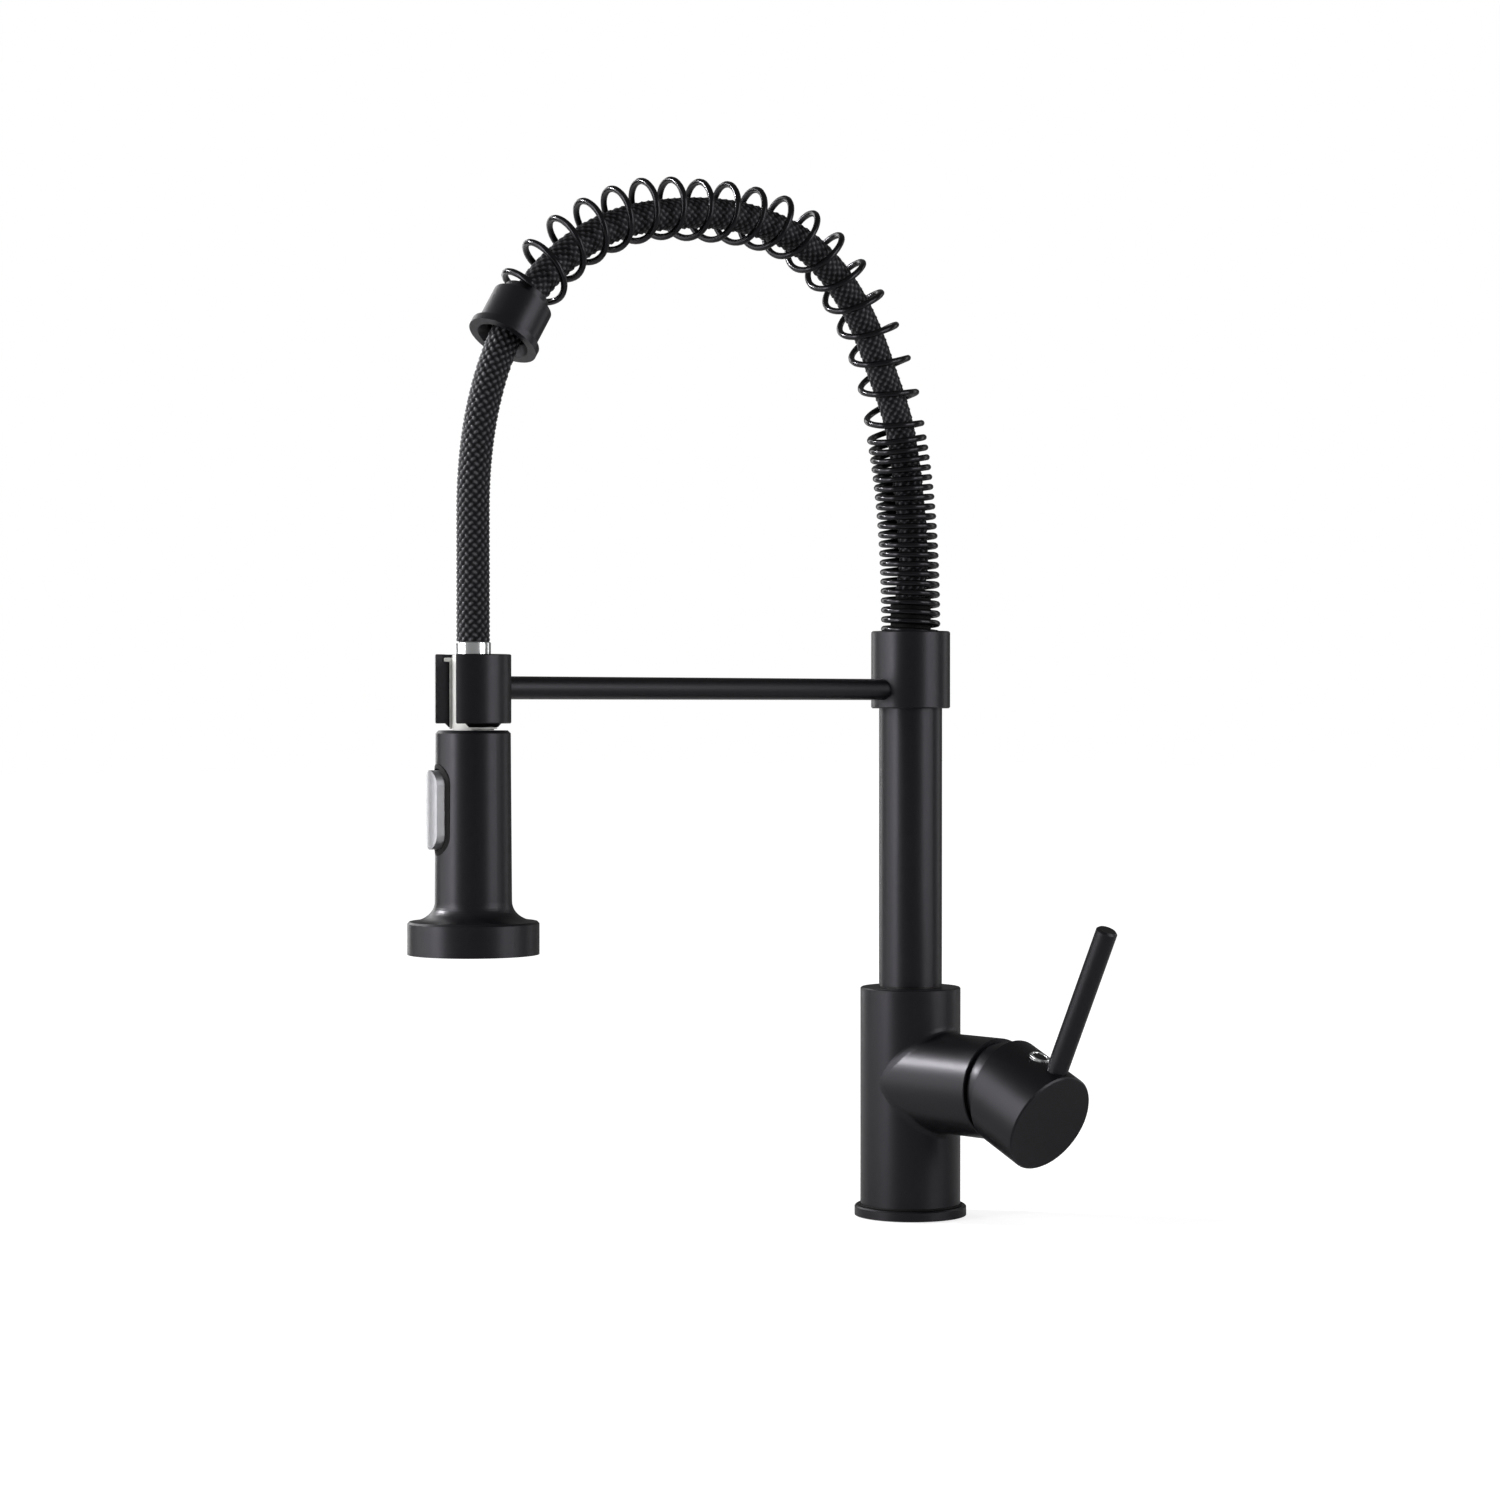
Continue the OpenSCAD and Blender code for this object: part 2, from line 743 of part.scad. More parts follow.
module swivel_washer() {
    color(soft_black) tube(body_top, column_bottom, column_r - 0.5, spigot_r + fixed_fit);
}

module column_orings() {
    color(soft_black)
    for (z = oring_heights)
        translate([0, 0, z]) ring_of(spigot_r - oring_r, oring_r - 0.02);
}

module collar() {
    color(black)
    difference() {
        union() {
            chamfered(collar_bottom + collar_edge, collar_top, collar_r, collar_edge);
            translate([0, 0, collar_bottom])
                cylinder(h = collar_edge, r1 = collar_r - collar_edge, r2 = collar_r);
        }
        stage(collar_bottom - past, collar_bottom + collar_socket, collar_spigot_r + fixed_fit);
        stage(collar_bottom, collar_top, nipple_r + fixed_fit);
        stage(spring_seat, collar_top + past, coil_r + wire_r + cover_gap);
        translate([0, 0, arm_z]) rotate([90, 0, 0]) cylinder(h = collar_r + past, r = arm_r + fixed_fit);
    }
}

module hose_nipple() {
    color(brass)
    difference() {
        union() {
            stage(collar_bottom + collar_socket + 0.5, spring_seat, nipple_r);
            translate([0, 0, spring_seat]) cylinder(h = nipple_hex, r = crimp_bore + crimp_wall, $fn = 6);
            stage(spring_seat + nipple_hex, hose_start - 0.3, hose_r - 0.1);
        }
        stage(collar_bottom, hose_start + past, nipple_bore);
    }
}

module hose_crimp() {
    color(chrome) tube(spring_seat + nipple_hex, hose_start + 8, crimp_bore + crimp_wall, crimp_bore);
}

// ---------------------------------------------------------------- spring and hose
module spring() {
    steps = ceil(spring_turns * coil_rings);
    color(black) sweep([for (i = [0 : steps]) wire_ring(spring_turns * i / steps)]);
}

module spring_ferrule() {
    way = heading(ferrule_mid);
    half = ferrule_len / 2;
    color(black)
    translate(route(ferrule_mid)) rotate([atan2(-way.y, way.z), 0, 0])
    difference() {
        union() {
            stage(-half - ferrule_spigot, -half, coil_r - wire_r - 1);
            stage(-half, half - ferrule_flange_t, ferrule_r);
            stage(half - ferrule_flange_t, half, ferrule_r + ferrule_lip);
        }
        stage(-half - ferrule_spigot - past, half + past, ferrule_bore);
        translate([0, 0, half - ferrule_flange_t - past])
            cylinder(h = ferrule_flange_t + 2 * past, r1 = ferrule_bore, r2 = ferrule_bore + 3.5);
    }
}

module hose_upper() {
    first = hose_start - collar_top;
    last = arch_len + drop.y - hose_split;
    steps = 64;
    step = (last - first) / steps;
    color(soft_black) sweep([for (i = [0 : steps]) hose_ring(first + i * step, hose_r, 12)]);
}

module hose_lower() {
    color(soft_black) on_head() tube(connector_top, hose_split, hose_r, hose_bore);
}

// ---------------------------------------------------------------- arm and dock
module support_arm() {
    far = reach - liner_r - arm_seat;
    near = collar_spigot_r + 0.3;
    color(black)
    translate([0, -near, arm_z]) rotate([90, 0, 0]) cylinder(h = far - near, r = arm_r);
}

module slot_cutter(width) {
    translate([-width / 2, -dock_r - past, dock_bottom - 10]) cube([width, dock_r + past, dock_h + 20]);
}

module dock_ring() {
    color(black)
    difference() {
        on_head()
        difference() {
            union() {
                chamfered(dock_bottom, dock_top, dock_r, 0.4);
                translate([0, 0, dock_bottom - dock_skirt])
                    cylinder(h = dock_skirt, r1 = liner_r + 0.4, r2 = liner_r + 1.8);
            }
            stage(dock_bottom - dock_skirt - past, dock_top + past, liner_r + fixed_fit);
            stage(liner_seat, dock_top + past, liner_flange_r + 0.3);
            slot_cutter(dock_slot);
        }
        translate([0, -reach + liner_r + arm_seat - lap, arm_z]) rotate([-90, 0, 0])
            cylinder(h = dock_r, r = arm_r + fixed_fit);
    }
}

module dock_liner() {
    color(pale)
    on_head()
    difference() {
        union() {
            stage(dock_bottom - liner_drop, liner_seat, liner_r);
            chamfered(liner_seat, liner_seat + liner_flange_t, liner_flange_r, 0.3);
        }
        stage(dock_bottom - liner_drop - past, dock_top + past, liner_bore);
        slot_cutter(dock_slot - 1);
    }
}

// ---------------------------------------------------------------- spray head
module hose_connector() {
    color(chrome)
    on_head()
    difference() {
        union() {
            chamfered(connector_bottom, connector_top, connector_r, 0.4);
            stage(connector_bottom - connector_spigot, connector_bottom, spigot_bore - run_fit);
        }
        stage(connector_bottom - connector_spigot - past, connector_top + past, connector_bore);
        tube(seal_z - 0.8, seal_z + 0.8, spigot_bore + past, spigot_bore - 1.4);
    }
}

module connector_oring() {
    color(soft_black) on_head() translate([0, 0, seal_z])
        ring_of(spigot_bore - run_fit - seal_r - fixed_fit, seal_r);
}

module spray_neck() {
    color(chrome)
    on_head()
    difference() {
        union() {
            stage(core_top, head_top - shoulder_t, core_r - 1.1);
            chamfered(head_top - shoulder_t, neck_top, neck_r, 0.4);
        }
        stage(connector_bottom - connector_spigot - 0.4, neck_top + past, spigot_bore);
        stage(core_top - past, neck_top, core_bore);
    }
}

// outline of the shell at a distance inside the outer skin
module head_outline(inset, low, high) {
    flare_steps = 12;
    edge = 0.8;
    shoulder = 1.2;
    polygon(concat(
        [[0, low], [flange_r - inset, low], [flange_r - inset, flange_top - inset - edge]],
        [[flange_r - inset - edge, flange_top - inset]],
        [for (i = [1 : flare_steps])
            let (a = 90 * i / flare_steps)
            [head_low_r - inset + (flange_r - head_low_r - edge) * (1 - sin(a)),
             flange_top - inset + flare_h * (1 - cos(a))]],
        [[head_top_r - inset, high - shoulder], [head_top_r - inset - shoulder, high], [0, high]]
    ));
}

// the same, turned as the head is turned in the dock
module on_turned_head() {
    on_head() rotate([0, 0, head_turn]) children();
}

// puts a child whose axis is Z along the rocker's pin
module on_rocker_pin() {
    on_turned_head() translate([0, -rocker_pin_y, rocker_z]) rotate([0, 90, 0]) children();
}

// the rocker's oval, seen along Y, from one depth to another
module oval_block(w, h, near, far) {
    on_turned_head() translate([0, -far, rocker_z]) rotate([-90, 0, 0]) linear_extrude(far - near)
    union() {
        for (end = [-1, 1]) translate([0, end * (h - w) / 2]) circle(d = w);
        square([w, h - w], center = true);
    }
}

module spray_shell() {
    color(black)
    difference() {
        union() {
            on_head() rotate_extrude() difference() {
                head_outline(0, head_bottom, head_top);
                head_outline(shell_wall, head_bottom - past, head_top - shoulder_t);
            }
            // the housing that the rocker's pocket is sunk in
            on_turned_head() intersection() {
                stage(rocker_z - housing_h / 2, rocker_z + housing_h / 2, head_top_r - 1);
                translate([-housing_w / 2, -head_top_r, rocker_z - housing_h / 2])
                    cube([housing_w, head_top_r - housing_y, housing_h]);
            }
        }
        oval_block(rocker_w + 2 * rocker_margin, rocker_h + 2 * rocker_margin, pocket_y, rocker_out);
        on_turned_head() translate([-ear_pocket.x / 2, -housing_y - 1.5 - ear_pocket.y, rocker_z])
            translate([0, 0, -ear_pocket.z / 2]) cube(ear_pocket);
        on_rocker_pin() cylinder(h = housing_w - 1, r = pin_r + fixed_fit, center = true);
        on_head() stage(head_top - shoulder_t - past, head_top + past, neck_r + fixed_fit);
    }
}

module rocker_pin() {
    color(chrome) on_rocker_pin() cylinder(h = housing_w - 2, r = pin_r, center = true);
}

module mode_rocker() {
    color(chrome)
    difference() {
        union() {
            intersection() {
                oval_block(rocker_w, rocker_h, rocker_back, rocker_out);
                // its face is crowned across its width
                on_turned_head() translate([0, rocker_face - rocker_out + 0.2, 0])
                    stage(rocker_z - rocker_h, rocker_z + rocker_h, rocker_face);
                // its back curves away from the pocket's floor, to leave room to rock
                on_turned_head()
                    translate([0, 0.6 - rocker_back - rocker_belly, rocker_z]) rotate([0, 90, 0])
                    cylinder(h = 2 * rocker_w, r = rocker_belly, center = true);
            }
            on_turned_head() translate([-rocker_ear.x / 2, -rocker_back - 0.1, rocker_z - rocker_ear.z / 2])
                cube(rocker_ear);
        }
        on_rocker_pin() cylinder(h = housing_w, r = pin_r + run_fit, center = true);
    }
}

module diverter_core() {
    low = throat + 1;
    flat_y = housing_y - 0.6;
    color(pale)
    on_turned_head()
    difference() {
        stage(low, core_top, core_r);
        translate([-2 * core_r, -2 * core_r, low - past])
            cube([4 * core_r, 2 * core_r - flat_y, core_top - low + 2 * past]);
        stage(low - past, core_top + past, core_bore);
        translate([0, (core_bore + core_r) / 2, low - past]) cylinder(h = 30, r = 2);
    }
}

module face_carrier() {
    low = face_bottom + face_t + mat_t;
    color(soft_black)
    on_head()
    difference() {
        union() {
            stage(low, low + carrier_t, face_r - lap);
            stage(low, throat + 1, core_r);
        }
        stage(low - past, throat + 1 + past, aerator_r + fixed_fit);
    }
}

module spray_face() {
    color(black)
    on_head()
    difference() {
        chamfered(face_bottom, face_bottom + face_t, face_r - fixed_fit, 0.3);
        stage(face_bottom - past, face_bottom + face_t + past, aerator_r + fixed_fit);
        nozzle_rings(nozzle_hole_r, face_bottom - past, face_bottom + face_t + past, nozzle_hole_r);
    }
}

module nozzle_rings(r_low, low, high, r_high) {
    for (ring = [[outer_nozzles, outer_ring_r], [inner_nozzles, inner_ring_r]], i = [0 : ring.x - 1])
        rotate([0, 0, 360 * i / ring.x]) translate([ring.y, 0, low])
            cylinder(h = high - low, r1 = r_low, r2 = r_high, $fn = 16);
}

module nozzle_mat() {
    low = face_bottom + face_t;
    color(soft_black)
    on_head()
    union() {
        tube(low, low + mat_t, face_r - 2 * lap, aerator_r + fixed_fit);
        nozzle_rings(nozzle_r, face_bottom - 0.8, low + mat_t / 2, nozzle_r + 0.25);
    }
}

module aerator() {
    color(chrome)
    on_head()
    difference() {
        stage(face_bottom - 0.6, throat, aerator_r);
        stage(face_bottom - 0.6 - past, face_bottom + 3, aerator_r - aerator_wall);
        stage(face_bottom + 6, throat + past, aerator_r - aerator_wall);
        for (ring = [[1, 0], [6, 3.2], [12, 6.4]], i = [0 : ring.x - 1])
            rotate([0, 0, 360 * i / ring.x]) translate([ring.y, 0, face_bottom])
                cylinder(h = 10, r = 1.1, $fn = 24);
    }
}

// ---------------------------------------------------------------- drawing
base_ring();
deck_gasket();
mounting_shank();
rubber_washer();
steel_washer();
lock_nut();
valve_body();
swivel_screw();
cartridge_body();
cartridge_nut();
dome_ring();
cartridge_rotor();
stem_pin();
cartridge_stem();
handle_cap();
lever_rod();
handle_screw();
index_plug();
column();
swivel_washer();
column_orings();
collar();
hose_nipple();
hose_crimp();
spring();
spring_ferrule();
support_arm();
dock_ring();
dock_liner();
hose_upper();
hose_lower();
hose_connector();
connector_oring();
spray_shell();
spray_neck();
diverter_core();
face_carrier();
spray_face();
nozzle_mat();
aerator();
rocker_pin();
mode_rocker();
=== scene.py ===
"""Looks of a spring-neck kitchen faucet with a pull-down spray head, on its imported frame."""

import json
import math

import bmesh
import bpy
from mathutils import Matrix, Vector


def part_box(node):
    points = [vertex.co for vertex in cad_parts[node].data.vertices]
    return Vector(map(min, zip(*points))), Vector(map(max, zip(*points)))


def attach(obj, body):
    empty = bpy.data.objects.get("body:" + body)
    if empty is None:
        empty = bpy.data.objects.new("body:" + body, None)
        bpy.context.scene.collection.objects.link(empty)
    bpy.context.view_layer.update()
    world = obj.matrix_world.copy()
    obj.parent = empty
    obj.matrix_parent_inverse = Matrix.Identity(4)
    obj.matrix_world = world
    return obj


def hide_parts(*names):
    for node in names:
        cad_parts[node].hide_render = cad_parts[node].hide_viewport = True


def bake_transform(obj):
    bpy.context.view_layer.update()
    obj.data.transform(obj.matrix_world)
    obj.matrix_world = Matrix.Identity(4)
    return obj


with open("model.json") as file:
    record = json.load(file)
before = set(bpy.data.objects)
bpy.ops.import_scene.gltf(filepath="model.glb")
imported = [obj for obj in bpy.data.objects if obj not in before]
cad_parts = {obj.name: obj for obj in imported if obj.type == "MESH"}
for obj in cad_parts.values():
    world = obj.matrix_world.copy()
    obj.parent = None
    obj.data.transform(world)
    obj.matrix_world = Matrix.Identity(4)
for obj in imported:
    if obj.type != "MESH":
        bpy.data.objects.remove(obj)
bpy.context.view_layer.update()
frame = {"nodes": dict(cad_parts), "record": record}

X, Z = Vector((1, 0, 0)), Vector((0, 0, 1))
MM = 0.001
VIEW_X, VIEW_Y = -0.743, 0.669  # the camera's level direction
OUTWARD = math.pi / 2  # the angle round the hose's route that points out of the arch
HANDLE_DROP = math.radians(25)  # the lever is shown this far below its upper stop
HEAD_TURN = math.radians(-17)  # the spray head is turned this far round its own axis
SEAM = 1e-6  # points of a closed seam are nearer to each other than this


def centre_of(node):
    low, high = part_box(node)
    return (low + high) / 2


def aim(thing, place, ahead):
    """Puts a camera or a lamp in its place, facing ahead, and adds it to the scene."""
    thing.location = place
    thing.rotation_mode = "QUATERNION"
    thing.rotation_quaternion = ahead.to_track_quat("-Z", "Y")
    bpy.context.scene.collection.objects.link(thing)


# ---------------------------------------------------------------- camera
def make_camera():
    """A long lens at about the height of the dock, between the spout and the handle."""
    place, pitch = (1.096, -1.085, 0.231), math.radians(-0.74)
    data = bpy.data.cameras.new("studio_camera")
    data.sensor_width, data.lens = 36, 81.4
    data.clip_start, data.clip_end = 0.05, 60
    camera = bpy.data.objects.new("studio_camera", data)
    level = math.cos(pitch)
    aim(camera, place, Vector((VIEW_X * level, VIEW_Y * level, math.sin(pitch))))
    bpy.context.scene.camera = camera


make_camera()
bpy.context.scene.view_settings.view_transform = "Standard"


# ---------------------------------------------------------------- studio
LIT_POINT = Vector((0, -0.12, 0.24))  # the lamps face the middle of the faucet


def area_lamp(name, azimuth, elevation, distance, size, energy):
    """A soft box at an angle round the faucet. Azimuth 0 is the -Y side, 90 the +X side."""
    a, e = math.radians(azimuth), math.radians(elevation)
    away = Vector((math.sin(a) * math.cos(e), -math.cos(a) * math.cos(e), math.sin(e)))
    data = bpy.data.lights.new(name, "AREA")
    data.shape = "RECTANGLE"
    data.size, data.size_y = size
    data.energy = energy
    aim(bpy.data.objects.new(name, data), LIT_POINT + away * distance, -away)


def make_lamps():
    """A small hard box up on the left, and tall strips all round but for the camera's side."""
    box_distance, box_size = 1.3, (0.12, 0.12)
    strip_distance, strip_size = 1.4, (0.35, 1.3)
    strips = (  # name, azimuth, elevation and energy
        ("front_left_strip", -12, 9, 13.5),
        ("left_strip", -32, 11, 5.6),
        ("side_left_strip", -52, 13, 3.0),
        ("rear_left_strip", -98, 13, 4.0),
        ("front_right_strip", 103, 7, 6.6),
        ("right_strip", 122, 9, 5.0),
        ("rear_right_strip", 168, 9, 1.8),
    )
    area_lamp("high_box", -60, 28, box_distance, box_size, 13.5)
    for name, azimuth, elevation, energy in strips:
        area_lamp(name, azimuth, elevation, strip_distance, strip_size, energy)


def node_in(tree, kind, operation=None):
    """A new shader node of a kind, set to an operation where it has one."""
    node = tree.nodes.new("ShaderNode" + kind)
    if operation:
        node.operation = operation
    return node


def ramp(tree, value, start, end, low, high):
    """Maps a value that runs from start to end onto low to high."""
    node = node_in(tree, "MapRange")
    node.inputs["From Min"].default_value = start
    node.inputs["From Max"].default_value = end
    node.inputs["To Min"].default_value = low
    node.inputs["To Max"].default_value = high
    tree.links.new(value, node.inputs["Value"])
    return node


def make_world():
    """White to the camera, an even fill, and a dim studio in reflections, dimmer at the back."""
    fill, white = 0.22, 1.0
    front, rear = 0.5, -0.3  # how far a direction turns to the camera's side
    front_level, rear_level = 0.26, 0.12
    world = bpy.data.worlds.new("studio_world")
    bpy.context.scene.world = world
    world.use_nodes = True
    tree = world.node_tree
    tree.nodes.clear()
    output = node_in(tree, "OutputWorld")
    background = node_in(tree, "Background")
    background.inputs["Color"].default_value = (1, 1, 1, 1)
    light = node_in(tree, "LightPath")
    where = node_in(tree, "TexCoord")
    facing = node_in(tree, "VectorMath", "DOT_PRODUCT")
    facing.inputs[1].default_value = (-VIEW_X, -VIEW_Y, 0)
    shade = ramp(tree, facing.outputs["Value"], front, rear, front_level, rear_level)
    shade.interpolation_type = "SMOOTHSTEP"
    see_through = node_in(tree, "Math", "MAXIMUM")
    studio = node_in(tree, "Mix")
    studio.inputs["A"].default_value = fill
    seen = node_in(tree, "Mix")
    seen.inputs["B"].default_value = white
    link = tree.links.new
    link(where.outputs["Generated"], facing.inputs[0])
    link(light.outputs["Is Glossy Ray"], studio.inputs["Factor"])
    link(shade.outputs["Result"], studio.inputs["B"])
    link(light.outputs["Is Camera Ray"], see_through.inputs[0])
    link(light.outputs["Is Transmission Ray"], see_through.inputs[1])
    link(see_through.outputs["Value"], seen.inputs["Factor"])
    link(studio.outputs["Result"], seen.inputs["A"])
    link(seen.outputs["Result"], background.inputs["Strength"])
    link(background.outputs["Background"], output.inputs["Surface"])


def mesh_from(bm, name):
    """A new mesh with the shape that was drawn in bm, which is then let go."""
    mesh = bpy.data.meshes.new(name)
    bm.to_mesh(mesh)
    bm.free()
    return mesh


def make_floor():
    """A pale floor that reads as white to the camera and keeps the faucet's shadow."""
    floor_half, floor_drop = 9.0, 0.4 * MM
    near, far = 0.4, 1.4  # distances: well lit by the lamps, and hardly lit any more
    near_lift, far_lift = 0.74, 0.93
    bm = bmesh.new()
    bmesh.ops.create_grid(bm, x_segments=2, y_segments=2, size=floor_half)
    bmesh.ops.translate(bm, verts=bm.verts, vec=(0, 0, -floor_drop))
    mesh = mesh_from(bm, "studio_floor")
    floor = bpy.data.objects.new("studio_floor", mesh)
    bpy.context.scene.collection.objects.link(floor)
    material = bpy.data.materials.new("pale_floor")
    material.use_nodes = True
    tree = material.node_tree
    tree.nodes.clear()
    output = node_in(tree, "OutputMaterial")
    paint = node_in(tree, "BsdfDiffuse")
    paint.inputs["Color"].default_value = (0.5, 0.5, 0.5, 1)
    lift = node_in(tree, "Emission")
    both = node_in(tree, "AddShader")
    light = node_in(tree, "LightPath")
    place = node_in(tree, "TexCoord")
    away = node_in(tree, "VectorMath", "LENGTH")
    lifted = ramp(tree, away.outputs["Value"], near, far, near_lift, far_lift)
    level = node_in(tree, "Math", "MULTIPLY")
    link = tree.links.new
    link(place.outputs["Object"], away.inputs[0])
    link(light.outputs["Is Camera Ray"], level.inputs[0])
    link(lifted.outputs["Result"], level.inputs[1])
    link(level.outputs["Value"], lift.inputs["Strength"])
    link(paint.outputs["BSDF"], both.inputs[0])
    link(lift.outputs["Emission"], both.inputs[1])
    link(both.outputs["Shader"], output.inputs["Surface"])
    mesh.materials.append(material)


make_lamps()
make_world()
make_floor()


# ---------------------------------------------------------------- materials
class Finish:
    """A node material with one Principled shader, whose patterns lie in Object coordinates."""

    def __init__(self, name, colour, roughness, metallic=0.0, specular=0.5, sheen_tint=(1, 1, 1)):
        self.material = bpy.data.materials.new(name)
        self.material.use_nodes = True
        self.tree = self.material.node_tree
        self.shader = self.tree.nodes["Principled BSDF"]
        self.shader.inputs["Base Color"].default_value = (*colour, 1)
        self.shader.inputs["Roughness"].default_value = roughness
        self.shader.inputs["Metallic"].default_value = metallic
        self.shader.inputs["Specular IOR Level"].default_value = specular
        self.shader.inputs["Specular Tint"].default_value = (*sheen_tint, 1)
        self.place = node_in(self.tree, "TexCoord")

    def link(self, a, b):
        self.tree.links.new(a, b)

    def noise(self, grain_mm, detail, stretch=(1, 1, 1)):
        """Noise whose lumps are about grain_mm across."""
        mapping = node_in(self.tree, "Mapping")
        mapping.inputs["Scale"].default_value = stretch
        texture = node_in(self.tree, "TexNoise")
        texture.inputs["Scale"].default_value = 1 / (grain_mm * MM)
        texture.inputs["Detail"].default_value = detail
        self.link(self.place.outputs["Object"], mapping.inputs["Vector"])
        self.link(mapping.outputs["Vector"], texture.inputs["Vector"])
        return texture.outputs["Fac"]

    def ranged(self, value, low, high, start=0.0):
        return ramp(self.tree, value, start, 1.0, low, high).outputs["Result"]

    def tint(self, value, dark, light):
        """Colours the surface between two colours by a value."""
        node = node_in(self.tree, "Mix")
        node.data_type = "RGBA"
        node.inputs["A"].default_value = (*dark, 1)
        node.inputs["B"].default_value = (*light, 1)
        self.link(value, node.inputs["Factor"])
        self.link(node.outputs["Result"], self.shader.inputs["Base Color"])

    def rough(self, value, low, high):
        self.link(self.ranged(value, low, high), self.shader.inputs["Roughness"])

    def bump(self, value, height_mm, strength):
        node = node_in(self.tree, "Bump")
        node.inputs["Strength"].default_value = strength
        node.inputs["Distance"].default_value = height_mm * MM
        self.link(value, node.inputs["Height"])
        self.link(node.outputs["Normal"], self.shader.inputs["Normal"])


COOL = (0.93, 0.90, 1.0)  # the slight violet cast of the black coat's reflections


def powder_black():
    """Matt black powder coat on brass castings: an even skin with a fine orange peel."""
    finish = Finish("powder_black", (0.0024, 0.0022, 0.0029), 0.37, specular=0.37, sheen_tint=COOL)
    cloud = finish.noise(14, detail=3)
    finish.tint(cloud, (0.0018, 0.0016, 0.0022), (0.0030, 0.0028, 0.0036))
    peel = finish.noise(0.55, detail=3)
    finish.rough(finish.noise(3, detail=4), 0.33, 0.41)
    finish.bump(peel, 0.02, 0.35)
    return finish.material


def spring_black():
    """Black coated spring wire, a little smoother than the castings."""
    finish = Finish("spring_black", (0.0018, 0.0017, 0.0020), 0.22, specular=0.3, sheen_tint=COOL)
    finish.tint(finish.noise(6, detail=3), (0.0012, 0.0012, 0.0014), (0.0024, 0.0023, 0.0027))
    finish.rough(finish.noise(1.2, detail=4), 0.18, 0.27)
    finish.bump(finish.noise(0.4, detail=2), 0.02, 0.3)
    return finish.material


def braid_black():
    """Woven black nylon, dull in the gaps and glossier on each strand's crown, with painted shade
    in the gaps and a painted highlight on the crowns.
    """
    finish = Finish("braid_black", (0.008, 0.008, 0.009), 0.5, specular=0.3, sheen_tint=COOL)
    crown = node_in(finish.tree, "Attribute")
    crown.attribute_name = "crown"
    # painted light: the weave's height pales the colour on the crowns as a painted highlight and
    # darkens the gaps as painted shade
    crown_highlight_gap_shade = finish.ranged(crown.outputs["Fac"], 0, 1, start=0.55)
    finish.tint(crown_highlight_gap_shade, (0.0003, 0.0003, 0.0004), (0.085, 0.085, 0.092))
    finish.rough(crown.outputs["Fac"], 0.95, 0.28)
    finish.bump(finish.noise(0.22, detail=2, stretch=(1, 1, 0.35)), 0.05, 0.5)
    return finish.material


def bright_chrome():
    """Polished chrome plate with faint handling haze."""
    finish = Finish("bright_chrome", (0.90, 0.91, 0.92), 0.18, metallic=1)
    finish.rough(finish.noise(5, detail=4), 0.14, 0.23)
    finish.tint(finish.noise(9, detail=2), (0.87, 0.88, 0.89), (0.94, 0.95, 0.96))
    return finish.material


def satin_silver():
    """Satin silver coating on moulded plastic."""
    finish = Finish("satin_silver", (0.42, 0.42, 0.44), 0.38, metallic=0.85)
    finish.tint(finish.noise(4, detail=3), (0.38, 0.38, 0.40), (0.46, 0.46, 0.48))
    finish.rough(finish.noise(1.5, detail=4), 0.34, 0.43)
    finish.bump(finish.noise(0.3, detail=2), 0.01, 0.3)
    return finish.material


def pale_acetal():
    """Natural white moulded acetal, slightly waxy."""
    finish = Finish("pale_acetal", (0.72, 0.72, 0.70), 0.38)
    finish.tint(finish.noise(7, detail=3), (0.66, 0.66, 0.64), (0.78, 0.78, 0.76))
    finish.rough(finish.noise(2, detail=3), 0.32, 0.45)
    return finish.material


def moulded_black():
    """Black moulded plastic with a fine spark texture."""
    finish = Finish("moulded_black", (0.005, 0.005, 0.0055), 0.45, specular=0.3)
    finish.tint(finish.noise(5, detail=3), (0.0035, 0.0035, 0.004), (0.007, 0.007, 0.0075))
    finish.rough(finish.noise(0.8, detail=4), 0.4, 0.55)
    finish.bump(finish.noise(0.25, detail=2), 0.02, 0.4)
    return finish.material


def black_rubber():
    """Moulded rubber, dull with a faint bloom."""
    finish = Finish("black_rubber", (0.0035, 0.0035, 0.0036), 0.7, specular=0.2)
    finish.tint(finish.noise(3, detail=4), (0.002, 0.002, 0.002), (0.005, 0.005, 0.005))
    finish.rough(finish.noise(0.9, detail=4), 0.6, 0.8)
    finish.bump(finish.noise(0.35, detail=3), 0.03, 0.4)
    return finish.material


def turned_brass():
    """Turned brass, with tool marks across its axis."""
    finish = Finish("turned_brass", (0.55, 0.40, 0.17), 0.3, metallic=1)
    finish.tint(finish.noise(8, detail=4), (0.47, 0.34, 0.14), (0.62, 0.46, 0.21))
    finish.rough(finish.noise(1.5, detail=4), 0.24, 0.42)
    finish.bump(finish.noise(2.5, detail=1, stretch=(0.2, 0.2, 6)), 0.02, 0.4)
    return finish.material


def plain_steel():
    """Stainless steel, lightly brushed."""
    finish = Finish("plain_steel", (0.52, 0.53, 0.54), 0.3, metallic=1)
    finish.tint(finish.noise(4, detail=4), (0.46, 0.47, 0.48), (0.58, 0.59, 0.60))
    finish.rough(finish.noise(0.7, detail=4, stretch=(1, 1, 4)), 0.22, 0.4)
    return finish.material


FINISHES = {
    "matte_black": powder_black(),
    "black_spring": spring_black(),
    "braid": braid_black(),
    "chrome": bright_chrome(),
    "brass": turned_brass(),
    "black_rubber": black_rubber(),
    "black_plastic": moulded_black(),
    "pale_plastic": pale_acetal(),
    "silver_plastic": satin_silver(),
    "steel": plain_steel(),
}


